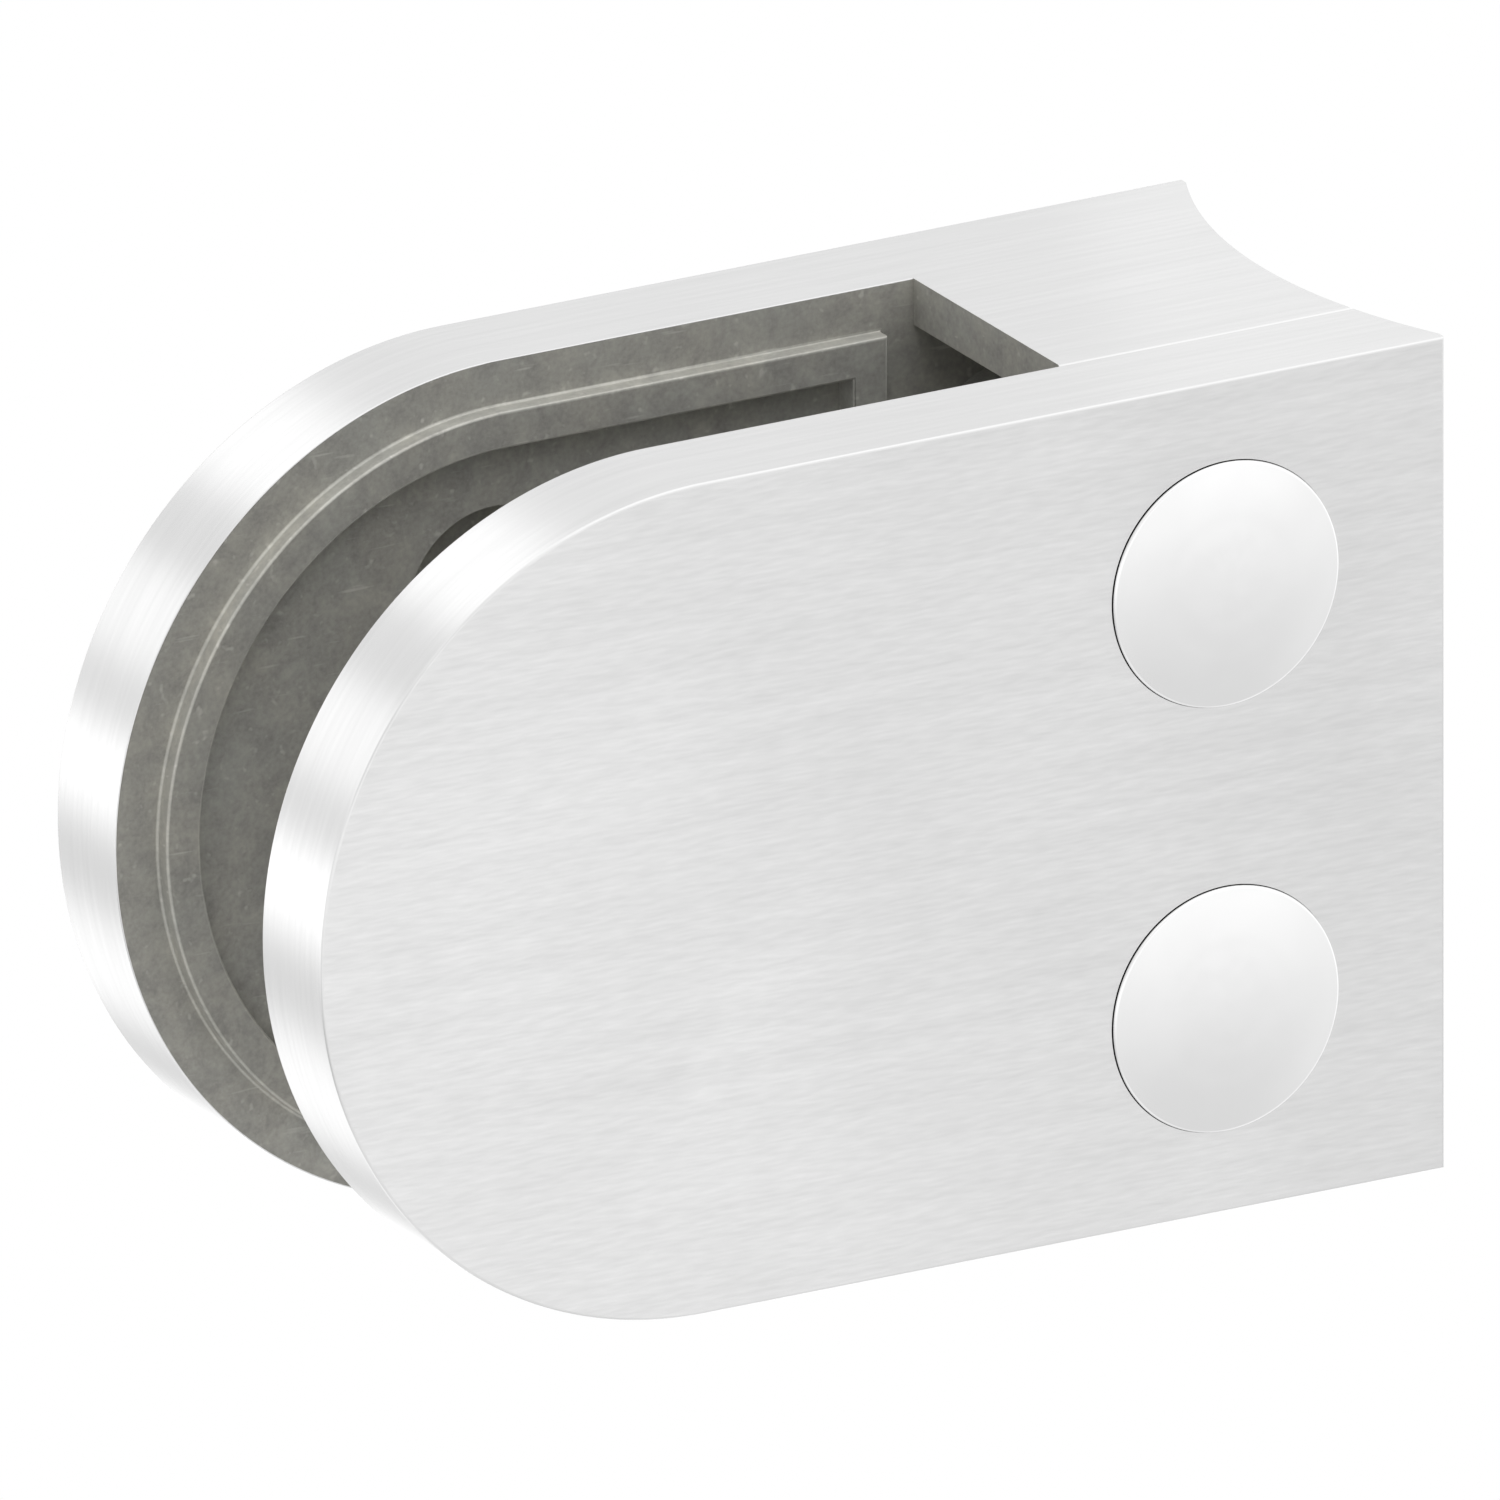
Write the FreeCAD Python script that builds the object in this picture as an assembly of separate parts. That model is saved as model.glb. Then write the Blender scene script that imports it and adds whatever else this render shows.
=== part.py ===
import FreeCAD, Part
import math
import os

# Glass panel clamp for a round post: two D-shaped stainless jaws that pinch the edge of a glass
# panel. The rear jaw is cast in one piece with the hollow block that sits on the post, and the
# front jaw is a loose cover. Two screws from behind pull two blind nuts, and the cover with them.
#
# Frame, in millimetres: the origin is where the axis of the post screw hole meets the deepest
# line of the saddle. +X points into the post, -X to the nose, -Y out of the cover and +Z up.

# Outline of both jaws
clamp_height = 45.0
reach = 63.0  # from the post's surface to the tip of the nose
post_radius = 30.15  # a round post of 60.3 mm
ear_reach = 2.9  # how far the ears go round the post before they are cut off flat
edge_break = 0.2  # on the outer edges of both jaws

# Walls and the slot for the glass
cover_wall = 6.0
rear_wall = 6.0
slot_width = 15.0
block_length = 16.2  # from the post's surface to the end wall of the slot
lip_wall = 2.5  # top and bottom walls of the hollow block
saddle_wall = 5.0  # wall between the hollow and the post
hollow_round = 1.5  # inside corners of the hollow, as cast

# Seat for a rubber inlay on the inner face of each jaw
rim_inset = 2.5  # from the outline of the jaw to the raised rim
rim_width = 2.0
rim_height = 0.9
rim_end_gap = 2.0  # from the end wall of the slot to the rim
rim_break = 0.15
pocket_depth = 1.5  # from the top of the rim to the floor of the pocket
peg_radius = 5.0  # round recesses for the two pegs of the inlay
peg_inset = 13.1  # from the top or bottom of the jaw to the axis of the recess
peg_depth = 2.5

# Post screw hole, for M8, with room for a cap head in the hollow
post_hole_radius = 4.5
post_head_radius = 6.5
post_head_gap = 0.3

# Clamping screws: M6 x 20 with a low head and a hexagon socket
screw_inset = 11.0  # from the top or bottom of the clamp to the axis of the screw
screw_setback = 10.0  # from the post's surface to the axes of the screws
thread_radius = 2.95
thread_gap = 0.05  # between the screw and the threaded hole of its nut
screw_length = 20.0
screw_point = 0.7  # chamfer at the tip
screw_hole_gap = 0.35  # between the screw and its through hole in the block
screw_head_radius = 5.0
screw_head_height = 4.0
screw_head_chamfer = 0.4
screw_head_gap = 0.5  # between the head and its counterbore
screw_head_sink = 0.6  # how far the head lies below the rear face
socket_flats = 4.0
socket_depth = 2.3
socket_cone = 30.0  # slope of the drilled bottom of the socket, in degrees
boss_wall = 1.65  # round the sleeves of the nuts, inside the hollow
boss_web = 8.0  # height of the webs from the bosses to the saddle wall

# Blind nuts: a smooth domed head, a hexagonal neck that can't turn and a threaded sleeve
nut_head_radius = 6.6
nut_head_gap = 0.08  # between the head and its counterbore in the cover
nut_head_seat = 2.0  # depth of that counterbore
nut_head_proud = 0.2  # how far the edge of the head stands out of the cover's face
nut_dome = 0.4  # from the edge of the head to its crown
nut_head_break = 0.1
nut_neck_flats = 9.0
nut_neck_height = 2.0
nut_neck_gap = 0.05
nut_sleeve_radius = 4.0
nut_sleeve_reach = 5.0  # how far the sleeve stands out of the cover, into the block
nut_sleeve_gap = 0.1
nut_sleeve_chamfer = 0.3
nut_pocket_spare = 0.5  # between the end of the sleeve and the bottom of its pocket
nut_thread_depth = 9.7

# Places worked out from the sizes above
half_height = clamp_height / 2
nose_x = half_height - reach  # axis of the round nose
seam_y = -slot_width / 2  # the cover meets the block here
front_y = seam_y - cover_wall
inner_y = slot_width / 2
rear_y = inner_y + rear_wall
slot_end_x = -block_length
boss_radius = nut_sleeve_radius + nut_sleeve_gap + boss_wall
screw_seat_y = rear_y - screw_head_sink - screw_head_height
nut_seat_y = front_y + nut_head_seat
nut_end_y = seam_y + nut_sleeve_reach
screw_height = half_height - screw_inset
screw_heights = {"upper": screw_height, "lower": -screw_height}
peg_height = half_height - peg_inset
through = 1.0  # how far a cutting tool runs past the face that it opens
near = 0.0001  # how closely an edge has to lie in a plane to be picked by it


def point(x, y, z):
    return FreeCAD.Vector(x, y, z)


def block(x_span, y_span, z_span):
    """A box from its spans along X, Y and Z."""
    corner = point(x_span[0], y_span[0], z_span[0])
    return Part.makeBox(x_span[1] - x_span[0], y_span[1] - y_span[0], z_span[1] - z_span[0], corner)


def round_bar(radius, y_from, y_to, z):
    """A cylinder along Y on the axis of a clamping screw."""
    low = min(y_from, y_to)
    return Part.makeCylinder(radius, abs(y_to - y_from), point(-screw_setback, low, z), point(0, 1, 0))


def d_prism(inset, x_end, y_from, y_to):
    """A bar of D-shaped section: the outline of a jaw set in by inset, cut off square at x_end."""
    radius = half_height - inset
    top_end = point(x_end, y_from, radius)
    top_nose = point(nose_x, y_from, radius)
    tip = point(nose_x - radius, y_from, 0)
    low_nose = point(nose_x, y_from, -radius)
    low_end = point(x_end, y_from, -radius)
    edges = [
        Part.LineSegment(top_end, top_nose).toShape(),
        Part.Arc(top_nose, tip, low_nose).toShape(),
        Part.LineSegment(low_nose, low_end).toShape(),
        Part.LineSegment(low_end, top_end).toShape(),
    ]
    return Part.Face(Part.Wire(edges)).extrude(point(0, y_to - y_from, 0))


def hexagon_bar(flats, y_from, y_to, z):
    """A hexagonal bar along Y on the axis of a clamping screw, with two corners level with it."""
    corner_radius = flats / math.sqrt(3)
    corners = []
    for step in range(7):
        angle = math.radians(60 * step)
        x = corner_radius * math.cos(angle) - screw_setback
        corners.append(point(x, y_from, z + corner_radius * math.sin(angle)))
    return Part.Face(Part.makePolygon(corners)).extrude(point(0, y_to - y_from, 0))


def edges_in_plane(shape, y):
    """The edges of a shape that lie in the plane Y = y."""
    low, high = y - near, y + near
    return [e for e in shape.Edges if e.BoundBox.YMin > low and e.BoundBox.YMax < high]


def edges_along_x(shape, y):
    """The straight edges in the plane Y = y that run along X."""
    return [e for e in edges_in_plane(shape, y) if e.BoundBox.ZLength < e.BoundBox.XLength]


def edges_along_y(shape, x):
    """The straight edges in the plane X = x that run along Y."""
    in_plane = [e for e in shape.Edges if e.BoundBox.XMin > x - near and e.BoundBox.XMax < x + near]
    return [e for e in in_plane if e.BoundBox.ZLength < near]


def saddle_cutter():
    """The round post itself, which hollows out the end of the clamp."""
    height = clamp_height + 2 * through
    return Part.makeCylinder(post_radius, height, point(post_radius, 0, -height / 2))


def jaw_plate(y_from, y_to):
    """One D-shaped jaw with its outer edges broken, before the saddle is cut."""
    plate = d_prism(0, ear_reach, y_from, y_to)
    return plate.makeChamfer(edge_break, edges_in_plane(plate, y_from) + edges_in_plane(plate, y_to))


def rubber_seat(side):
    """The rim on a jaw's inner face and the pockets inside it; side is 1 at the rear, -1 in front."""
    face = side * slot_width / 2
    rim_top = side * (slot_width / 2 - rim_height)
    floor = rim_top + side * pocket_depth
    rim_end = slot_end_x - rim_end_gap
    root = face + side * rim_height
    rim = d_prism(rim_inset, rim_end, root, rim_top)
    rim = rim.makeChamfer(rim_break, edges_in_plane(rim, rim_top))
    pockets = d_prism(rim_inset + rim_width, rim_end - rim_width, rim_top - side * through, floor)
    for z in (peg_height, -peg_height):
        low = min(floor, floor + side * peg_depth)
        peg = Part.makeCylinder(peg_radius, peg_depth, point(nose_x, low, z), point(0, 1, 0))
        pockets = pockets.fuse(peg)
    return rim, pockets


def hollow_block():
    """The block between the jaws: thin walls round a hollow that is open to the slot and the cover."""
    root = inner_y + rear_wall / 2
    outside = block((slot_end_x, ear_reach), (seam_y, root), (-half_height, half_height))
    outside = outside.makeChamfer(edge_break, edges_along_x(outside, seam_y))
    hollow_top = half_height - lip_wall
    hollow_end = slot_end_x - hollow_round - through
    hollow = block((hollow_end, -saddle_wall), (seam_y - through, inner_y), (-hollow_top, hollow_top))
    hollow = hollow.makeFillet(hollow_round, edges_along_y(hollow, -saddle_wall))
    shape = outside.cut(hollow)
    for z in screw_heights.values():
        boss = round_bar(boss_radius, seam_y, root, z)
        web_span = (z - boss_web / 2, z + boss_web / 2)
        web = block((-screw_setback, -saddle_wall / 2), (seam_y, root), web_span)
        shape = shape.fuse(boss.fuse(web))
    return shape


def post_screw_cutter():
    """The post screw's hole through the saddle wall, and the way for its head past the bosses."""
    ahead = point(-1, 0, 0)
    hole = Part.makeCylinder(post_hole_radius, saddle_wall + 2 * through, point(through, 0, 0), ahead)
    way_radius = post_head_radius + post_head_gap
    head_way = Part.makeCylinder(way_radius, block_length, point(-saddle_wall, 0, 0), ahead)
    return hole.fuse(head_way)


def clamp_screw_cutter(z):
    """Counterbore, through hole and sleeve pocket for one clamping screw and its nut."""
    counterbore = round_bar(screw_head_radius + screw_head_gap, screw_seat_y, rear_y + through, z)
    hole = round_bar(thread_radius + screw_hole_gap, seam_y - through, screw_seat_y + through, z)
    pocket_bottom = nut_end_y + nut_pocket_spare
    pocket = round_bar(nut_sleeve_radius + nut_sleeve_gap, seam_y - through, pocket_bottom, z)
    return counterbore.fuse(hole).fuse(pocket)


def clamp_body():
    """The rear jaw and the hollow block on the post, cast in one piece."""
    rim, pockets = rubber_seat(1)
    shape = jaw_plate(inner_y, rear_y).fuse(hollow_block()).fuse(rim)
    shape = shape.cut(pockets).cut(saddle_cutter()).cut(post_screw_cutter())
    for z in screw_heights.values():
        shape = shape.cut(clamp_screw_cutter(z))
    return shape.removeSplitter()


def clamp_cover():
    """The front jaw: a loose plate with seats for the two blind nuts."""
    rim, pockets = rubber_seat(-1)
    shape = jaw_plate(front_y, seam_y).fuse(rim)
    shape = shape.cut(pockets).cut(saddle_cutter())
    neck_end_y = nut_seat_y + nut_neck_height
    for z in screw_heights.values():
        head_seat = round_bar(nut_head_radius + nut_head_gap, front_y - through, nut_seat_y, z)
        neck_seat = hexagon_bar(nut_neck_flats + 2 * nut_neck_gap, nut_seat_y, neck_end_y, z)
        hole = round_bar(nut_sleeve_radius + nut_neck_gap, nut_seat_y, seam_y + through, z)
        shape = shape.cut(head_seat.fuse(neck_seat).fuse(hole))
    return shape.removeSplitter()


def domed_head(z):
    """The round head of a blind nut: a bar cut by a large ball for the dome, with its edge broken."""
    edge_y = front_y - nut_head_proud
    crown_y = edge_y - nut_dome
    end_y = crown_y - through
    bar = round_bar(nut_head_radius, end_y, nut_seat_y, z)
    bar = bar.makeChamfer(edge_y + nut_head_break - end_y, edges_in_plane(bar, end_y))
    dome_radius = (nut_head_radius ** 2 + nut_dome ** 2) / (2 * nut_dome)
    centre = point(-screw_setback, crown_y + dome_radius, z)
    ball = Part.makeSphere(dome_radius, centre, point(1, 0, 0))  # its poles lie far from the dome
    return bar.common(ball)


def blind_nut(z):
    """A nut with a smooth domed head, a hexagonal neck and a sleeve with a blind threaded hole."""
    head = domed_head(z)
    neck = hexagon_bar(nut_neck_flats, nut_seat_y, nut_seat_y + nut_neck_height, z)
    sleeve = round_bar(nut_sleeve_radius, nut_seat_y, nut_end_y, z)
    sleeve = sleeve.makeChamfer(nut_sleeve_chamfer, edges_in_plane(sleeve, nut_end_y))
    thread_end_y = nut_end_y - nut_thread_depth
    thread = round_bar(thread_radius + thread_gap, thread_end_y, nut_end_y + through, z)
    return head.fuse(neck).fuse(sleeve).cut(thread).removeSplitter()


def clamping_screw(z):
    """A socket screw with a low head; its thread is a plain bar of the outer diameter."""
    head_top_y = screw_seat_y + screw_head_height
    tip_y = screw_seat_y - screw_length
    head = round_bar(screw_head_radius, screw_seat_y, head_top_y, z)
    head = head.makeChamfer(screw_head_chamfer, edges_in_plane(head, head_top_y))
    shank = round_bar(thread_radius, tip_y, screw_seat_y, z)
    shank = shank.makeChamfer(screw_point, edges_in_plane(shank, tip_y))
    socket_floor_y = head_top_y - socket_depth
    socket = hexagon_bar(socket_flats, socket_floor_y, head_top_y + through, z)
    cone_depth = socket_flats / 2 * math.tan(math.radians(socket_cone))
    floor_centre = point(-screw_setback, socket_floor_y, z)
    cone = Part.makeCone(socket_flats / 2, 0, cone_depth, floor_centre, point(0, -1, 0))
    return head.fuse(shank).cut(socket.fuse(cone)).removeSplitter()


def export(name, shape):
    """Write one sub-part, which has to be a single valid solid."""
    solids = shape.Solids
    if len(solids) != 1 or not solids[0].isValid():
        raise ValueError(name + " is not one valid solid")
    solids[0].exportStep("parts/" + name + ".step")
    print(name, "volume", round(solids[0].Volume, 1), "mm3")


def main():
    os.makedirs("parts", exist_ok=True)
    export("clamp_body", clamp_body())
    export("clamp_cover", clamp_cover())
    for place, z in screw_heights.items():
        export("blind_nut_" + place, blind_nut(z))
        export("clamping_screw_" + place, clamping_screw(z))


main()
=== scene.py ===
from math import atan2, cos, hypot, pi, radians, sin, sqrt, tan

import bpy
from mathutils import Matrix, Vector


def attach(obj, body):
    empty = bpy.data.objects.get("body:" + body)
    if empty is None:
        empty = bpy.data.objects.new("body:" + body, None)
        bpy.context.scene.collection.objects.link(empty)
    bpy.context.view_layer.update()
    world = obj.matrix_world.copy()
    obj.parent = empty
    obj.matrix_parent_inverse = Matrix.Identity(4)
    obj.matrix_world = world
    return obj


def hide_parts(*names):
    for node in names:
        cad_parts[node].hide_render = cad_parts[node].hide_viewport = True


# Glass panel clamp for a round post: brushed stainless jaws, as-cast inner faces, polished heads.
# Every piece is modelled in millimetres round the frame's own origin and brought to metres at the
# end, so that its object stays at the origin, unturned and unscaled.

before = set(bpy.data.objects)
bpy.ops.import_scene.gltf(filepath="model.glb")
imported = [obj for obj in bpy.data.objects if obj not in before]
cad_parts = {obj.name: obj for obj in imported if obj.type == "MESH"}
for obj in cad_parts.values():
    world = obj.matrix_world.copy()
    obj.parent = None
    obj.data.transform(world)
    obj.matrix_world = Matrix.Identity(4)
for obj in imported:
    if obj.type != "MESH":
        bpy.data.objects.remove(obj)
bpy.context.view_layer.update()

# -------------------------------------------------------- sizes of the clamp, in millimetres
CLAMP_HEIGHT = 45.0
REACH = 63.0
POST_RADIUS = 30.15
EAR_REACH = 2.9
EDGE_ROUND = 0.15
INNER_EDGE_ROUND = 0.065
SEAM_ROUND = 0.28
COVER_WALL = 6.0
REAR_WALL = 6.0
SLOT_WIDTH = 15.0
BLOCK_LENGTH = 16.2
LIP_WALL = 2.5
SADDLE_WALL = 5.0
HOLLOW_ROUND = 1.5
RIM_INSET = 2.5
RIM_WIDTH = 2.0
RIM_HEIGHT = 0.9
RIM_END_GAP = 2.0
RIM_ROUND = 0.15
RIM_FILLET = 0.15
POCKET_DEPTH = 1.5
PEG_RADIUS = 5.0
PEG_INSET = 13.1
PEG_DEPTH = 2.5
POST_HOLE_RADIUS = 4.5
POST_HEAD_WAY = 6.8
SPOT_FACE = 0.05
SCREW_INSET = 11.0
SCREW_SETBACK = 10.0
THREAD_RADIUS = 2.95
THREAD_PITCH = 1.0
THREAD_DEPTH = 0.58
THREAD_GAP = 0.05
SCREW_LENGTH = 20.0
SCREW_POINT = 0.7
SCREW_NECK_LENGTH = 1.0
SCREW_NECK_STEP = 0.1
SCREW_HOLE_GAP = 0.35
SCREW_HEAD_RADIUS = 5.0
SCREW_HEAD_HEIGHT = 4.0
SCREW_HEAD_ROUND = 0.4
SCREW_HEAD_BREAK = 0.15
SCREW_HEAD_GAP = 0.5
SCREW_HEAD_SINK = 0.6
SOCKET_FLATS = 4.0
SOCKET_DEPTH = 2.3
SOCKET_MOUTH_STEP = 0.15
SOCKET_MOUTH_DEPTH = 0.2
BOSS_RADIUS = 5.75
BOSS_WEB = 8.0
NUT_HEAD_RADIUS = 6.6
NUT_HEAD_GAP = 0.035
NUT_OFF_CENTRE = (0.02, -0.008)  # each nut sits a little to the right and down in its seat
NUT_HEAD_SEAT = 2.0
NUT_HEAD_PROUD = 0.2
NUT_DOME = 0.4
NUT_HEAD_ROUND = 0.15
NUT_NECK_FLATS = 9.0
NUT_NECK_HEIGHT = 2.0
NUT_NECK_GAP = 0.05
NUT_SLEEVE_RADIUS = 4.0
NUT_SLEEVE_REACH = 5.0
NUT_SLEEVE_GAP = 0.1
NUT_SLEEVE_CHAMFER = 0.3
NUT_POCKET_SPARE = 0.5
NUT_THREAD_DEPTH = 9.7

HALF_HEIGHT = CLAMP_HEIGHT / 2
NOSE_X = HALF_HEIGHT - REACH
SEAM_Y = -SLOT_WIDTH / 2
FRONT_Y = SEAM_Y - COVER_WALL
INNER_Y = SLOT_WIDTH / 2
REAR_Y = INNER_Y + REAR_WALL
RIM_TOP_Y = INNER_Y - RIM_HEIGHT
SLOT_END_X = -BLOCK_LENGTH
RIM_END_X = SLOT_END_X - RIM_END_GAP
SCREW_SEAT_Y = REAR_Y - SCREW_HEAD_SINK - SCREW_HEAD_HEIGHT
NUT_SEAT_Y = FRONT_Y + NUT_HEAD_SEAT
NUT_END_Y = SEAM_Y + NUT_SLEEVE_REACH
SCREW_Z = {"upper": HALF_HEIGHT - SCREW_INSET, "lower": SCREW_INSET - HALF_HEIGHT}
PEG_Z = HALF_HEIGHT - PEG_INSET

THROUGH = 1.0          # how far a cutting piece runs past the face that it opens
OVERLAP = 0.5          # how far two pieces reach into each other before they are fused
POST_SIDES = 720       # flats round the post
NOSE_SIDES = 256       # flats round a full circle of the nose
HOLE_SIDES = 128       # flats round a hole or a head
THREAD_SIDES = 48      # flats in one turn of a thread
NEAR = 0.002           # how closely an edge or face has to lie in a plane to be picked
NEAR_ROUND = 0.01      # the same for a round face, whose flats lie a little inside it
MERGE_WITHIN = 0.0005  # corners closer than this are one
CUT_WITHIN = 0.0001    # a cut takes corners closer than this as lying in it


# -------------------------------------------------------- the bench: picking, cutting, rounding
def take_up(piece):
    """Put down everything else and make one piece the active one."""
    if bpy.context.object and bpy.context.object.mode != "OBJECT":
        bpy.ops.object.mode_set(mode="OBJECT")
    bpy.ops.object.select_all(action="DESELECT")
    piece.select_set(True)
    bpy.context.view_layer.objects.active = piece


def nothing_picked(piece):
    """Take up a piece with no corner, edge or face of it selected."""
    take_up(piece)
    for item in (piece.data.vertices, piece.data.edges, piece.data.polygons):
        item.foreach_set("select", [False] * len(item))
    return piece.data


def pick_faces(piece, wanted):
    """Go to edit mode with the faces selected whose middle and normal are wanted."""
    for face in nothing_picked(piece).polygons:
        face.select = wanted(face.center, face.normal)
    bpy.context.tool_settings.mesh_select_mode = (False, False, True)
    bpy.ops.object.mode_set(mode="EDIT")


def pick_edges(piece, wanted, level):
    """Go to edit mode with the edges selected whose two ends are both wanted."""
    mesh = nothing_picked(piece)
    for edge in mesh.edges:
        a, b = (mesh.vertices[i].co for i in edge.vertices)
        edge.select = wanted(a) and wanted(b) and (not level or abs(a.z - b.z) < NEAR)
    bpy.context.tool_settings.mesh_select_mode = (False, True, False)
    bpy.ops.object.mode_set(mode="EDIT")


def pick_all():
    """Go to edit mode with everything selected."""
    bpy.ops.object.mode_set(mode="EDIT")
    bpy.ops.mesh.select_all(action="SELECT")


def back_to_bench():
    bpy.ops.object.mode_set(mode="OBJECT")


def round_edges(piece, wanted, radius, steps=4, level=False):
    """Round the edges whose two ends are both wanted, or only the level ones of them."""
    pick_edges(piece, wanted, level)
    bpy.ops.mesh.bevel(offset=radius, offset_pct=0, segments=steps, profile=0.5,
                       affect="EDGES", clamp_overlap=False, loop_slide=False)
    back_to_bench()


def join_in(piece, other, way="UNION"):
    """Fuse another piece in, or cut it out, and use it up."""
    take_up(piece)
    bpy.ops.object.modifier_add(type="BOOLEAN")
    step = piece.modifiers[-1]
    step.operation = way
    step.solver = "EXACT"
    step.object = other
    bpy.ops.object.modifier_apply(modifier=step.name)
    bpy.data.objects.remove(other)
    return piece


def cut_out(piece, tool):
    return join_in(piece, tool, "DIFFERENCE")


def clean_flats(piece):
    """Dissolve what the cuts leave across flat faces."""
    take_up(piece)
    pick_all()
    bpy.ops.mesh.remove_doubles(threshold=MERGE_WITHIN)
    bpy.ops.mesh.dissolve_limited(angle_limit=radians(0.2))
    back_to_bench()


def settled(name):
    """Name the new primitive and put its place and turn into its mesh."""
    piece = bpy.context.object
    piece.name = piece.data.name = name
    bpy.ops.object.transform_apply(location=True, rotation=True, scale=True)
    return piece


def cylinder_y(name, radius, y_low, y_high, x, z, sides=HOLE_SIDES):
    """A round bar along Y."""
    bpy.ops.object.select_all(action="DESELECT")
    bpy.ops.mesh.primitive_cylinder_add(
        vertices=sides, radius=radius, depth=y_high - y_low,
        location=(x, (y_low + y_high) / 2, z), rotation=(radians(90), 0, 0))
    return settled(name)


def cylinder_x(name, radius, x_low, x_high):
    """A round bar along X, on the axis of the post screw."""
    bpy.ops.object.select_all(action="DESELECT")
    bpy.ops.mesh.primitive_cylinder_add(
        vertices=HOLE_SIDES, radius=radius, depth=x_high - x_low,
        location=((x_low + x_high) / 2, 0, 0), rotation=(0, radians(90), 0))
    return settled(name)


def bar_between(name, low, high):
    """A square bar from its lowest to its highest corner."""
    bpy.ops.object.select_all(action="DESELECT")
    middle = [(a + b) / 2 for a, b in zip(low, high)]
    bpy.ops.mesh.primitive_cube_add(size=1, location=middle)
    bpy.context.object.scale = [b - a for a, b in zip(low, high)]
    return settled(name)


def hexagon_y(name, flats, y_low, y_high, z):
    """A hexagonal bar along Y on a screw's axis, with two corners level with that axis."""
    bar = cylinder_y(name, flats / sqrt(3), y_low, y_high, 0, 0, sides=6)
    bar.rotation_euler = (0, radians(30), 0)
    bar.location = (-SCREW_SETBACK, 0, z)
    take_up(bar)
    return settled(name)


def jaw_bar(name, inset, x_end, y_low, y_high):
    """A D-shaped bar: a cylinder is halved at the nose's axis and its flat drawn out to x_end."""
    bar = cylinder_y(name, HALF_HEIGHT - inset, y_low, y_high, NOSE_X, 0, sides=NOSE_SIDES)
    take_up(bar)
    pick_all()
    bpy.ops.mesh.bisect(plane_co=(NOSE_X, 0, 0), plane_no=(1, 0, 0), use_fill=True,
                        clear_outer=True, threshold=CUT_WITHIN)
    back_to_bench()
    pick_faces(bar, lambda middle, normal: normal.x > 0.99 and abs(middle.x - NOSE_X) < NEAR)
    bpy.ops.mesh.extrude_region_move(TRANSFORM_OT_translate={"value": (x_end - NOSE_X, 0, 0)})
    back_to_bench()
    clean_flats(bar)
    return bar


def in_plane_y(y):
    return lambda p: abs(p.y - y) < NEAR


def from_nose_line(p):
    """How far a point lies from the middle line of the D, which ends at the nose's axis."""
    return abs(p.z) if p.x >= NOSE_X else hypot(p.x - NOSE_X, p.z)


# -------------------------------------------------------- the two jaws
# In this section side is 1 for the rear jaw and -1 for the cover.
def post():
    """The round post itself, which hollows out the end of the clamp."""
    bpy.ops.object.select_all(action="DESELECT")
    bpy.ops.mesh.primitive_cylinder_add(
        vertices=POST_SIDES, radius=POST_RADIUS, depth=CLAMP_HEIGHT + 2 * THROUGH,
        location=(POST_RADIUS, 0, 0))
    return settled("post")


def rubber_rim(side):
    """The raised rim on a jaw's inner face, which holds a rubber inlay."""
    face, top = side * INNER_Y, side * RIM_TOP_Y
    root = face + side * RIM_HEIGHT
    rim = jaw_bar("rim", RIM_INSET, RIM_END_X, min(root, top), max(root, top))
    round_edges(rim, in_plane_y(top), RIM_ROUND, steps=3)
    return rim


def rubber_pocket(side):
    """What the rim encloses: a D-shaped pocket and the recesses for the inlay's two pegs."""
    top = side * RIM_TOP_Y
    mouth, floor = top - side * THROUGH, top + side * POCKET_DEPTH
    pocket = jaw_bar("pocket", RIM_INSET + RIM_WIDTH, RIM_END_X - RIM_WIDTH,
                     min(mouth, floor), max(mouth, floor))
    for z in (PEG_Z, -PEG_Z):
        low, high = sorted((floor - side * OVERLAP, floor + side * PEG_DEPTH))
        join_in(pocket, cylinder_y("peg", PEG_RADIUS, low, high, NOSE_X, z))
    return pocket


def soften_rim(piece, side):
    """Round the rim's inner edge, as a casting has it."""
    radius = HALF_HEIGHT - RIM_INSET - RIM_WIDTH
    end = RIM_END_X - RIM_WIDTH

    def on_edge(p):
        return abs(p.y - side * RIM_TOP_Y) < NEAR and p.x < end + NEAR and (
            abs(from_nose_line(p) - radius) < NEAR or abs(p.x - end) < NEAR)

    round_edges(piece, on_edge, RIM_ROUND, steps=3)


def fillet_rim(piece, side):
    """Fill the corner between the rim and the jaw's inner face, as a casting has it."""
    radius = HALF_HEIGHT - RIM_INSET

    def on_root(p):
        return abs(p.y - side * INNER_Y) < NEAR and p.x < RIM_END_X + NEAR and (
            abs(from_nose_line(p) - radius) < NEAR_ROUND or abs(p.x - RIM_END_X) < NEAR)

    round_edges(piece, on_root, RIM_FILLET, steps=3)


def add_rim(jaw, side):
    """Give a jaw its raised rim and its pocket."""
    join_in(jaw, rubber_rim(side))
    cut_out(jaw, rubber_pocket(side))
    clean_flats(jaw)
    soften_rim(jaw, side)
    fillet_rim(jaw, side)


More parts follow.
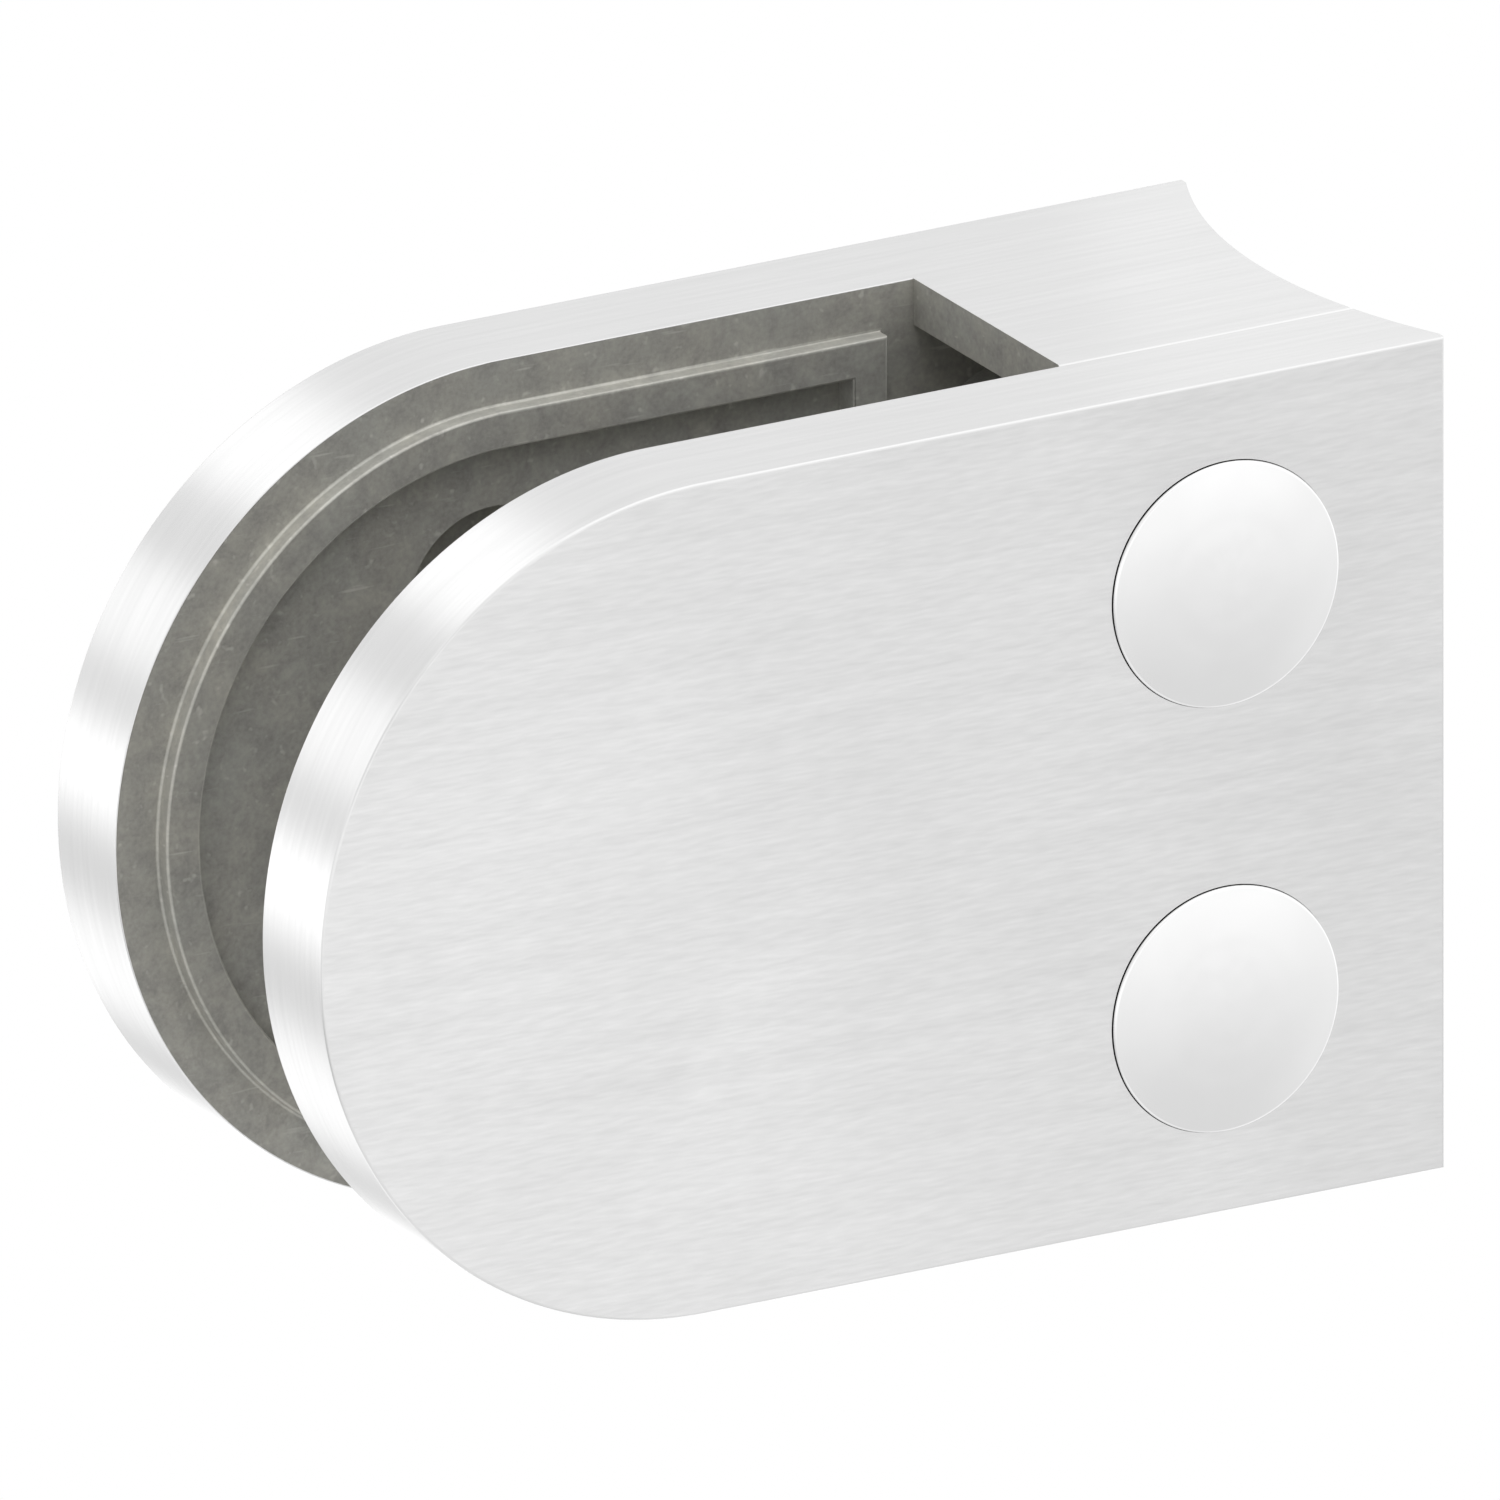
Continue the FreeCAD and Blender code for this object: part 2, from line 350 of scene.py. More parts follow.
def cover():
    """The front jaw: a loose plate with seats for the two blind nuts."""
    plate = jaw_bar("cover_plate", 0, EAR_REACH, FRONT_Y, SEAM_Y)
    round_edges(plate, in_plane_y(FRONT_Y), EDGE_ROUND)
    round_edges(plate, in_plane_y(SEAM_Y), INNER_EDGE_ROUND)
    add_rim(plate, -1)
    cut_out(plate, post())
    x = -SCREW_SETBACK
    for z in SCREW_Z.values():
        seat = cylinder_y("seat", NUT_HEAD_RADIUS + NUT_HEAD_GAP, FRONT_Y - THROUGH, NUT_SEAT_Y,
                          x, z)
        neck = hexagon_y("neck", NUT_NECK_FLATS + 2 * NUT_NECK_GAP, NUT_SEAT_Y - OVERLAP,
                         NUT_SEAT_Y + NUT_NECK_HEIGHT, z)
        hole = cylinder_y("hole", NUT_SLEEVE_RADIUS + NUT_NECK_GAP, NUT_SEAT_Y,
                          SEAM_Y + THROUGH, x, z)
        cut_out(plate, join_in(join_in(seat, neck), hole))
    return plate


def hollow_block():
    """The block on the post: four thin walls round a hollow, two screw bosses and their webs."""
    root = INNER_Y + REAR_WALL / 2
    block = bar_between("block", (SLOT_END_X, SEAM_Y, -HALF_HEIGHT),
                        (EAR_REACH, root, HALF_HEIGHT))
    round_edges(block, in_plane_y(SEAM_Y), SEAM_ROUND, level=True)
    hollow_top = HALF_HEIGHT - LIP_WALL
    hollow = bar_between(
        "hollow", (SLOT_END_X - HOLLOW_ROUND - THROUGH, SEAM_Y - THROUGH, -hollow_top),
        (-SADDLE_WALL, INNER_Y, hollow_top))
    round_edges(hollow, lambda p: abs(p.x + SADDLE_WALL) < NEAR, HOLLOW_ROUND, steps=8,
                level=True)
    cut_out(block, hollow)
    for z in SCREW_Z.values():
        join_in(block, cylinder_y("boss", BOSS_RADIUS, SEAM_Y, root, -SCREW_SETBACK, z))
        join_in(block, bar_between("web", (-SCREW_SETBACK, SEAM_Y, z - BOSS_WEB / 2),
                                   (-SADDLE_WALL / 2, root, z + BOSS_WEB / 2)))
    return block


def rear_jaw():
    """The rear jaw and the hollow block on the post, cast in one piece."""
    jaw = jaw_bar("rear_jaw_and_block", 0, EAR_REACH, INNER_Y, REAR_Y)
    round_edges(jaw, in_plane_y(INNER_Y), INNER_EDGE_ROUND)
    round_edges(jaw, in_plane_y(REAR_Y), EDGE_ROUND)
    add_rim(jaw, 1)
    join_in(jaw, hollow_block())
    cut_out(jaw, post())
    cut_out(jaw, cylinder_x("post_hole", POST_HOLE_RADIUS, -SADDLE_WALL - THROUGH, THROUGH))
    cut_out(jaw, cylinder_x("head_way", POST_HEAD_WAY, -SADDLE_WALL - BLOCK_LENGTH,
                            SPOT_FACE - SADDLE_WALL))
    x = -SCREW_SETBACK
    for z in SCREW_Z.values():
        bore = cylinder_y("bore", SCREW_HEAD_RADIUS + SCREW_HEAD_GAP, SCREW_SEAT_Y,
                          REAR_Y + THROUGH, x, z)
        hole = cylinder_y("hole", THREAD_RADIUS + SCREW_HOLE_GAP, SEAM_Y - THROUGH,
                          SCREW_SEAT_Y + THROUGH, x, z)
        sleeve = cylinder_y("sleeve", NUT_SLEEVE_RADIUS + NUT_SLEEVE_GAP, SEAM_Y - 2 * THROUGH,
                            NUT_END_Y + NUT_POCKET_SPARE, x, z)
        cut_out(jaw, join_in(join_in(bore, hole), sleeve))
    return jaw


# -------------------------------------------------------- nuts and screws
DOME_STEPS = 12  # straight steps from the crown of a head to its rim
ARC_STEPS = 5    # straight steps in the rounding of a turned edge


def draw_outline(points):
    """Draw (radius, y) points as a chain of edges on a new object, which stays in edit mode."""
    bpy.ops.object.select_all(action="DESELECT")
    bpy.context.tool_settings.mesh_select_mode = (True, False, False)
    bpy.ops.mesh.primitive_plane_add(size=0.001, location=(0, 0, 0))
    pick_all()
    bpy.ops.mesh.merge(type="CENTER")
    bpy.ops.transform.translate(value=(*points[0], 0))
    for (r_from, y_from), (r_to, y_to) in zip(points, points[1:]):
        bpy.ops.mesh.extrude_vertices_move(
            TRANSFORM_OT_translate={"value": (r_to - r_from, y_to - y_from, 0)})


def turned(name, outline, z):
    """A turned piece: its outline, drawn from end to end, is spun round a screw's axis."""
    draw_outline(outline)
    bpy.ops.mesh.select_all(action="SELECT")
    bpy.ops.mesh.spin(steps=HOLE_SIDES, angle=2 * pi, center=(0, 0, 0), axis=(0, 1, 0))
    bpy.ops.mesh.select_all(action="SELECT")
    bpy.ops.mesh.remove_doubles(threshold=MERGE_WITHIN)
    bpy.ops.mesh.normals_make_consistent(inside=False)
    back_to_bench()
    bpy.context.object.location = (-SCREW_SETBACK, 0, z)
    return settled(name)


def arc(centre_r, centre_y, radius, from_deg, to_deg):
    """Points of a turned edge's rounding; 0 degrees is outwards and 90 is +Y."""
    points = []
    for i in range(ARC_STEPS + 1):
        angle = radians(from_deg + (to_deg - from_deg) * i / ARC_STEPS)
        points.append((centre_r + radius * cos(angle), centre_y + radius * sin(angle)))
    return points


def blind_nut(name, z):
    """Domed polished head, hexagonal neck, and a turned sleeve with its threaded hole."""
    crown_y = FRONT_Y - NUT_HEAD_PROUD - NUT_DOME
    dome_radius = (NUT_HEAD_RADIUS ** 2 + NUT_DOME ** 2) / (2 * NUT_DOME)
    rim_r = NUT_HEAD_RADIUS - NUT_HEAD_ROUND
    outline = [(0, crown_y)]
    for i in range(1, DOME_STEPS + 1):
        r = rim_r * i / DOME_STEPS
        outline.append((r, crown_y + dome_radius - sqrt(dome_radius ** 2 - r ** 2)))
    # the dome meets its rounded rim at 3 degrees off the front
    outline += arc(rim_r, outline[-1][1] + NUT_HEAD_ROUND, NUT_HEAD_ROUND, -87, 0)[1:]
    outline += [(NUT_HEAD_RADIUS, NUT_SEAT_Y), (0, NUT_SEAT_Y)]
    head = turned(name, outline, z)
    neck = hexagon_y("neck", NUT_NECK_FLATS, NUT_SEAT_Y - OVERLAP,
                     NUT_SEAT_Y + NUT_NECK_HEIGHT, z)
    chamfer_y = NUT_END_Y - NUT_SLEEVE_CHAMFER
    sleeve = turned("sleeve", [
        (0, NUT_SEAT_Y - OVERLAP), (NUT_SLEEVE_RADIUS, NUT_SEAT_Y - OVERLAP),
        (NUT_SLEEVE_RADIUS, chamfer_y), (NUT_SLEEVE_RADIUS - NUT_SLEEVE_CHAMFER, NUT_END_Y),
        (0, NUT_END_Y)], z)
    hole_r = THREAD_RADIUS + THREAD_GAP
    tapped = turned("tapped", [
        (0, NUT_END_Y - NUT_THREAD_DEPTH), (hole_r, NUT_END_Y - NUT_THREAD_DEPTH),
        (hole_r, chamfer_y), (hole_r + NUT_SLEEVE_CHAMFER + THROUGH, NUT_END_Y + THROUGH),
        (0, NUT_END_Y + THROUGH)], z)
    join_in(head, neck)
    join_in(head, sleeve)
    cut_out(head, tapped)
    head.location = (NUT_OFF_CENTRE[0], 0, NUT_OFF_CENTRE[1])
    return settled(name)


def rolled_thread(z, y_tip, y_end):
    """A real M6 thread: one pitch of its outline, wound up by the Screw modifier and cut square."""
    root = THREAD_RADIUS - THREAD_DEPTH
    crest = THREAD_PITCH / 8
    flank = (THREAD_PITCH - 2 * crest) / 2
    start = y_tip - THREAD_PITCH
    draw_outline([(THREAD_RADIUS, start), (THREAD_RADIUS, start + crest),
                  (root, start + crest + flank), (root, start + 2 * crest + flank),
                  (THREAD_RADIUS, start + THREAD_PITCH)])
    back_to_bench()
    thread = bpy.context.object
    bpy.ops.object.modifier_add(type="SCREW")
    wind = thread.modifiers[-1]
    wind.axis = "Y"
    wind.angle = 2 * pi
    wind.screw_offset = THREAD_PITCH
    wind.iterations = int((y_end - y_tip) / THREAD_PITCH) + 2
    wind.steps = wind.render_steps = THREAD_SIDES
    wind.use_smooth_shade = False
    bpy.ops.object.modifier_apply(modifier=wind.name)
    pick_all()
    bpy.ops.mesh.remove_doubles(threshold=MERGE_WITHIN)  # joins the turns
    for y, outer in ((y_tip, False), (y_end, True)):
        bpy.ops.mesh.select_all(action="SELECT")
        bpy.ops.mesh.bisect(plane_co=(0, y, 0), plane_no=(0, 1, 0), use_fill=True,
                            clear_outer=outer, clear_inner=not outer, threshold=CUT_WITHIN)
    bpy.ops.mesh.select_all(action="SELECT")
    bpy.ops.mesh.normals_make_consistent(inside=False)
    back_to_bench()
    thread.location = (-SCREW_SETBACK, 0, z)
    return settled("thread")


def clamping_screw(name, z):
    """M6 x 20 socket screw with a low head: rolled thread, turned head, pressed hexagon socket."""
    head_top = SCREW_SEAT_Y + SCREW_HEAD_HEIGHT
    neck_r = THREAD_RADIUS - SCREW_NECK_STEP
    thread_end = SCREW_SEAT_Y - SCREW_NECK_LENGTH
    head = turned(name, [
        (0, thread_end - OVERLAP), (neck_r - OVERLAP, thread_end - OVERLAP),
        (neck_r, thread_end), (neck_r, SCREW_SEAT_Y),
        (SCREW_HEAD_RADIUS - SCREW_HEAD_BREAK, SCREW_SEAT_Y),
        (SCREW_HEAD_RADIUS, SCREW_SEAT_Y + SCREW_HEAD_BREAK),
        *arc(SCREW_HEAD_RADIUS - SCREW_HEAD_ROUND, head_top - SCREW_HEAD_ROUND,
             SCREW_HEAD_ROUND, 0, 90),
        (0, head_top)], z)
    tip = SCREW_SEAT_Y - SCREW_LENGTH
    thread = rolled_thread(z, tip, thread_end)
    # the thread is kept inside a pointed bar that is just clear of its crests and its ends
    bar_r, bar_tip, bar_end = THREAD_RADIUS + 0.01, tip - 0.01, thread_end + 0.1
    pointed = turned("pointed", [
        (0, bar_tip), (bar_r - SCREW_POINT, bar_tip), (bar_r, bar_tip + SCREW_POINT),
        (bar_r, bar_end), (0, bar_end)], z)
    join_in(thread, pointed, "INTERSECT")
    join_in(head, thread)
    floor = head_top - SOCKET_DEPTH
    half = SOCKET_FLATS / 2
    mouth_r, mouth_y = half + SOCKET_MOUTH_STEP, head_top - SOCKET_MOUTH_DEPTH
    past_top = head_top + THROUGH
    socket = hexagon_y("socket", SOCKET_FLATS, floor, past_top, z)
    mouth = turned("mouth", [(0, mouth_y), (mouth_r, mouth_y),
                             (mouth_r + past_top - mouth_y, past_top), (0, past_top)], z)
    drilled = turned("drilled", [(0, floor - half * tan(radians(30))), (half, floor),
                                 (0, floor + 0.4)], z)
    cut_out(head, join_in(join_in(socket, drilled), mouth))
    return head


# -------------------------------------------------------- surfaces
# the fourth place is a lighter copy of the cast finish: a painted highlight on the rim's sides and
# rounds
FACE, EDGE, CAST, RUBBED, BORED, SPOT_FACED = range(6)  # places in jaw_finishes
POLISHED, TURNED = 0, 1                                 # places in nut_finishes


def on_screw_axis(p, radius):
    return any(hypot(p.x + SCREW_SETBACK, p.z - z) < radius for z in SCREW_Z.values())


def on_saddle(p):
    return abs(hypot(p.x - POST_RADIUS, p.y) - POST_RADIUS) < NEAR_ROUND


def jaw_finish(middle, normal):
    """Which finish a face of a jaw has: brushed, ground, as cast, as cast painted lighter as a
    highlight on the rim, or machined.
    """
    x, y, z = middle
    from_post_axis = hypot(y, z)
    in_post_hole = (abs(normal.x) < 0.5 and -SADDLE_WALL < x < 0
                    and from_post_axis < POST_HEAD_WAY)
    on_spot = abs(x + SADDLE_WALL - SPOT_FACE) < NEAR and from_post_axis < POST_HEAD_WAY
    on_head_way = (SLOT_END_X - NEAR < x < -SADDLE_WALL
                   and abs(from_post_axis - POST_HEAD_WAY) < NEAR_ROUND)
    if in_post_hole or on_spot or on_head_way:
        return SPOT_FACED
    in_seat = (FRONT_Y + NEAR < y < SEAM_Y
               and on_screw_axis(middle, NUT_HEAD_RADIUS + NUT_HEAD_GAP + NEAR))
    in_bore = (SCREW_SEAT_Y - NEAR < y < REAR_Y - NEAR
               and on_screw_axis(middle, SCREW_HEAD_RADIUS + SCREW_HEAD_GAP + NEAR))
    in_hole = (abs(y) < REAR_Y - NEAR
               and on_screw_axis(middle, NUT_SLEEVE_RADIUS + NUT_SLEEVE_GAP + NEAR))
    if in_seat or in_bore or in_hole:
        return BORED
    if x > SLOT_END_X and abs(y - SEAM_Y) < NEAR:
        return FACE
    on_slot_end = abs(x - SLOT_END_X) < NEAR and normal.x < -0.9
    if on_saddle(middle) or on_slot_end:
        return CAST
    from_face = REAR_Y - abs(y)
    if from_face < NEAR:
        return FACE
    from_outline = HALF_HEIGHT - from_nose_line(middle)
    by_seam = x > SLOT_END_X and abs(y - SEAM_Y) < SEAM_ROUND
    outline_round = SEAM_ROUND if by_seam else EDGE_ROUND
    on_outline = from_outline < outline_round - NEAR and abs(normal.y) < 0.999
    if from_face < EDGE_ROUND - NEAR or x > EAR_REACH - NEAR or on_outline:
        return EDGE
    # the rim's side walls and rounds get the lighter cast copy: a painted highlight standing in for
    # the light from above that catches them
    below_top = abs(y) - RIM_TOP_Y
    on_rim_side = below_top > NEAR and from_outline < RIM_INSET + RIM_FILLET + NEAR
    on_rim_round = NEAR < below_top < RIM_ROUND
    by_rim = x < RIM_END_X + RIM_FILLET and abs(y) < INNER_Y - NEAR
    return RUBBED if by_rim and (on_rim_side or on_rim_round) else CAST


def nut_finish(middle, normal):
    """A nut's head is polished all round; the rest of it is turned."""
    on_head = middle.y < NUT_SEAT_Y - NEAR and not on_screw_axis(middle, 0.1)
    return POLISHED if on_head or normal.y < -0.5 else TURNED


def lay_grain(piece):
    """A UV map in millimetres with u along the brushing: along X, and round the nose on its rim."""
    grain = piece.data.uv_layers.new(name="grain")
    mesh = piece.data
    half_turn = HALF_HEIGHT * pi / 2
    for face in mesh.polygons:
        faces_front = abs(face.normal.y) > 0.71
        faces_up = abs(face.normal.z) > 0.7
        for loop in face.loop_indices:
            p = mesh.vertices[mesh.loops[loop].vertex_index].co
            if faces_front:
                u, v = p.x, p.z
            elif face.center.x < NOSE_X:
                u, v = HALF_HEIGHT * atan2(p.z, NOSE_X - p.x), p.y
            elif faces_up:
                run = half_turn + p.x - NOSE_X
                u, v = (run if p.z > 0 else -run), p.y
            else:
                u, v = p.z, p.y
            grain.data[loop].uv = (u, v)


def finish_surface(piece, materials, finish):
    """Give every face its material, lay the grain, shade the rounds smooth, bring it to metres."""
    clean_flats(piece)
    piece.data.materials.clear()
    for material in materials:
        piece.data.materials.append(material)
    for face in piece.data.polygons:
        face.material_index = finish(face.center, face.normal)
    lay_grain(piece)
    take_up(piece)
    bpy.ops.object.shade_smooth_by_angle(angle=radians(32))
    bpy.ops.object.modifier_add(type="WEIGHTED_NORMAL")
    even = piece.modifiers[-1]
    even.keep_sharp = True
    even.weight = 100
    bpy.ops.object.modifier_apply(modifier=even.name)
    piece.scale = (0.001, 0.001, 0.001)
    bpy.ops.object.transform_apply(location=False, rotation=False, scale=True)


# -------------------------------------------------------- materials
def linear(hex_colour):
    """An sRGB hex colour as linear RGBA."""
    channels = [int(hex_colour[i:i + 2], 16) / 255 for i in (1, 3, 5)]
    return [c / 12.92 if c <= 0.04045 else ((c + 0.055) / 1.055) ** 2.4 for c in channels] + [1]


def add_node(tree, kind, settings=None, **links):
    """Add a node with its settings and its inputs, each a value or the socket that feeds it.

    An input goes by its name, with _ for a space, or by i and its number."""
    node = tree.nodes.new(kind)
    for key, value in (settings or {}).items():
        setattr(node, key, value)
    for key, value in links.items():
        by_number = key[0] == "i" and key[1:].isdigit()
        socket = node.inputs[int(key[1:]) if by_number else key.replace("_", " ")]
        if isinstance(value, bpy.types.NodeSocket):
            tree.links.new(value, socket)
        else:
            socket.default_value = value
    return node


def noise(tree, place, scale, detail=2.0, roughness=0.5, distortion=0.0, dimensions="3D"):
    return add_node(tree, "ShaderNodeTexNoise", {"noise_dimensions": dimensions}, Vector=place,
                    Scale=scale, Detail=detail, Roughness=roughness,
                    Distortion=distortion).outputs["Fac"]


def stretch(tree, place, scale, location=(0, 0, 0), rotation=(0, 0, 0)):
    return add_node(tree, "ShaderNodeMapping", Vector=place, Scale=scale, Location=location,
                    Rotation=rotation).outputs[0]


def spread(tree, value, low, high, to_low=0.0, to_high=1.0, way="LINEAR"):
    """Spread the values from low to high over the range from to_low to to_high."""
    return add_node(tree, "ShaderNodeMapRange", {"interpolation_type": way}, Value=value,
                    i1=low, i2=high, i3=to_low, i4=to_high).outputs[0]


def blend(tree, factor, first, second):
    return add_node(tree, "ShaderNodeMix", {"data_type": "FLOAT"}, Factor=factor, i2=first,
                    i3=second).outputs[0]


def blend_colours(tree, factor, first, second):
    return add_node(tree, "ShaderNodeMix", {"data_type": "RGBA"}, Factor=factor, i6=first,
                    i7=second).outputs[2]


def maths(tree, operation, first, second):
    return add_node(tree, "ShaderNodeMath", {"operation": operation}, i0=first,
                    i1=second).outputs[0]


def vector_maths(tree, operation, first, second=(0, 0, 0)):
    """The answer is a vector or, for a length or a dot product, a value."""
    node = add_node(tree, "ShaderNodeVectorMath", {"operation": operation}, i0=first, i1=second)
    return node.outputs["Value" if operation in ("LENGTH", "DOT_PRODUCT") else "Vector"]


def new_steel(name):
    """A new material with its node tree and its shader."""
    material = bpy.data.materials.new(name)
    material.use_nodes = True
    tree = material.node_tree
    tree.nodes.clear()
    steel = tree.nodes.new("ShaderNodeBsdfPrincipled")
    output = tree.nodes.new("ShaderNodeOutputMaterial")
    tree.links.new(steel.outputs["BSDF"], output.inputs["Surface"])
    return material, tree, steel


def object_place(tree):
    return add_node(tree, "ShaderNodeTexCoord").outputs["Object"]


def dress(tree, steel, colour, rough, metallic, bump=None):
    """Feed the shader; bump is the strength, the depth in metres and the socket of its height."""
    tree.links.new(colour, steel.inputs["Base Color"])
    tree.links.new(rough, steel.inputs["Roughness"])
    steel.inputs["Metallic"].default_value = metallic
    if bump:
        dents = add_node(tree, "ShaderNodeBump", Strength=bump[0], Distance=bump[1],
                         Height=bump[2])
        tree.links.new(dents.outputs[0], steel.inputs["Normal"])


def brushed_steel(name, dark, light, scratch, rough_range, bump):
    """Stainless steel 304 ground on a belt of about grit 240: satin, with fine soft lines along the
    grain, slightly cloudy, highlights drawn out across the grain."""
    material, tree, steel = new_steel(name)
    grain = add_node(tree, "ShaderNodeUVMap", {"uv_map": "grain"}).outputs["UV"]
    # scratches of the given length and width in mm, drawn that coarse so that they show
    lines = noise(tree, stretch(tree, grain, (1 / scratch[0], 1 / scratch[1], 1)), 1.0,
                  dimensions="2D")
    # broad passes of the belt, about 1 mm apart
    passes = noise(tree, stretch(tree, grain, (0.035, 0.9, 1), (7, 3, 0)), 1.0, dimensions="2D")
    # soft clouding, 8 to 15 mm across
    clouds = noise(tree, object_place(tree), 90.0, detail=1.0, roughness=0.4)
    lines_and_passes = blend(tree, 0.4, lines, passes)
    tone = spread(tree, blend(tree, 0.25, lines_and_passes, clouds), 0.2, 0.8)
    colour = blend_colours(tree, tone, linear(dark), linear(light))
    rough = spread(tree, lines, 0.3, 0.7, *rough_range)
    dress(tree, steel, colour, rough, 1, (bump, 0.00003, lines_and_passes))
    tangent = add_node(tree, "ShaderNodeTangent", {"direction_type": "UV_MAP", "uv_map": "grain"})
    tree.links.new(tangent.outputs[0], steel.inputs["Tangent"])
    steel.inputs["Anisotropic"].default_value = 0.7
    steel.inputs["Anisotropic Rotation"].default_value = 0.25
    return material


def cast_steel(name, dark, warm, cool):
    """Investment-cast stainless steel, blasted and pickled: matt grey, softly mottled, with light
    flecks of bare grain and a few short rub marks."""
    material, tree, steel = new_steel(name)
    place = object_place(tree)
    # mottling, 0.5 to 2 mm, and shell grain, 0.15 mm
    mottle = noise(tree, place, 560.0, detail=4.0, roughness=0.6, distortion=0.4)
    grit = noise(tree, place, 3600.0, roughness=0.6)
    mixed = blend(tree, 0.35, mottle, grit)
    # a warm or cool cast, 4 mm across
    warmth = spread(tree, noise(tree, place, 220.0), 0.35, 0.65)
    tinted = blend_colours(tree, warmth, linear(warm), linear(cool))
    ground = blend_colours(tree, spread(tree, mixed, 0.3, 0.7), linear(dark), tinted)
    # light flecks 0.1 to 0.2 mm across, and rub marks 0.1 mm wide and 1 to 2 mm long
    fleck = spread(tree, noise(tree, place, 1900.0, detail=1.0), 0.68, 0.8)
    lie = stretch(tree, place, (330, 1500, 3600), rotation=(0, radians(14), 0))
    rub = spread(tree, noise(tree, lie, 1.0, detail=1.0), 0.7, 0.8)
    bare = maths(tree, "MULTIPLY", maths(tree, "MAXIMUM", fleck, rub), 0.3)
    colour = blend_colours(tree, bare, ground, linear("#e2e0da"))
    rough = spread(tree, mottle, 0.3, 0.7, 0.62, 0.5)
    dress(tree, steel, colour, rough, 0.55, (0.2, 0.00006, mixed))
    return material


def polished_steel():
    """Stainless steel 316 heads, polished on a wheel: bright and clear with a faint haze."""
    material, tree, steel = new_steel("stainless_316_polished")
    haze = noise(tree, object_place(tree), 260.0)
    colour = blend_colours(tree, spread(tree, haze, 0.3, 0.7), linear("#efefef"),
                           linear("#f3f3f3"))
    dress(tree, steel, colour, spread(tree, haze, 0.3, 0.7, 0.16, 0.12), 1)
    return material


def machined_steel(name, along, weights, shift):
    """Stainless steel as drilled, milled and turned: fine rings of tool marks round an axis.

    along is the axis; weights and shift turn a place into its offset from that axis."""
    material, tree, steel = new_steel(name)
    place = object_place(tree)
    # the screws stand at the same height above and below the middle
    offset = stretch(tree, vector_maths(tree, "ABSOLUTE", place), weights, shift)
    radius = vector_maths(tree, "LENGTH", offset)
    run = vector_maths(tree, "DOT_PRODUCT", place, along)
    both = add_node(tree, "ShaderNodeCombineXYZ", X=radius, Y=run).outputs[0]
    # tool marks about 0.15 mm apart
    marks = noise(tree, both, 6500.0, roughness=0.6, dimensions="2D")
    colour = blend_colours(tree, spread(tree, marks, 0.3, 0.7), linear("#bebebd"),
                           linear("#d2d2d1"))
    rough = spread(tree, marks, 0.3, 0.7, 0.34, 0.28)
    dress(tree, steel, colour, rough, 1, (0.1, 0.00003, marks))
    return material


def cold_formed_steel():
    """Stainless A2 screws, cold headed and rolled: grey satin, a little darker in patches."""
    material, tree, steel = new_steel("stainless_a2_cold_formed")
    patches = noise(tree, object_place(tree), 700.0, detail=3.0, roughness=0.6)
    colour = blend_colours(tree, spread(tree, patches, 0.3, 0.7), linear("#a3a29e"),
                           linear("#c3c2be"))
    rough = spread(tree, patches, 0.3, 0.7, 0.38, 0.28)
    dress(tree, steel, colour, rough, 1, (0.15, 0.00003, patches))
    return material


# -------------------------------------------------------- studio
# the directions that the camera sees mirrored in the front faces and in the top faces
FRONT_MIRROR = (0.467, -0.815, -0.342)
TOP_MIRROR = (0.467, 0.815, 0.342)
# the walls in front and behind: height from -1 to 1 and brightness there
FRONT_WALL = ((-1, 0.9), (-0.8, 0.9), (-0.66, 0.78), (-0.51, 0.74), (-0.34, 0.9), (-0.156, 1.15),
              (0.0, 1.26), (0.12, 1.14), (0.3, 0.96), (0.6, 0.96), (0.8, 1.25), (1, 1.1))
BACK_WALL = ((-1, 0.9), (-0.8, 0.9), (-0.62, 0.54), (-0.42, 0.83), (0.0, 0.94), (0.34, 0.97),
             (0.6, 0.98), (0.8, 1.15), (1, 1.1))
BRIGHTEST = 1.3  # the walls' ramps run from 0 to 1 and are multiplied by this
# strip lights behind, along Y: the direction of each in degrees up from -X, half the width of its
# full part and half its whole width, both in degrees, and its strength
STRIP_LIGHTS = ((142, 8, 24, 0.06), (80, 8, 23, 0.43), (25, 2, 19, 0.4), (-18, 2, 17, 0.75),
                (-73, 12, 23, 0.81), (-130, 3, 20, 1.0), (-162, 5, 28, 0.16))
# a fill from the lower right, a key from the upper right and the table's glow from the lower left:
# the direction of each, then as above
ROUND_LIGHTS = (((0.8, -0.2, -0.57), 8, 35, 0.35), ((0.55, -0.35, 0.76), 20, 55, 0.27),
                ((-0.4, -0.6, -0.7), 15, 50, 0.1))
# soft boxes before the front: how far right of its mirrored middle each one ends, and its glow
FRONT_BOXES = ((-16, 0.065), (-4, 0.06), (16, 0.05))


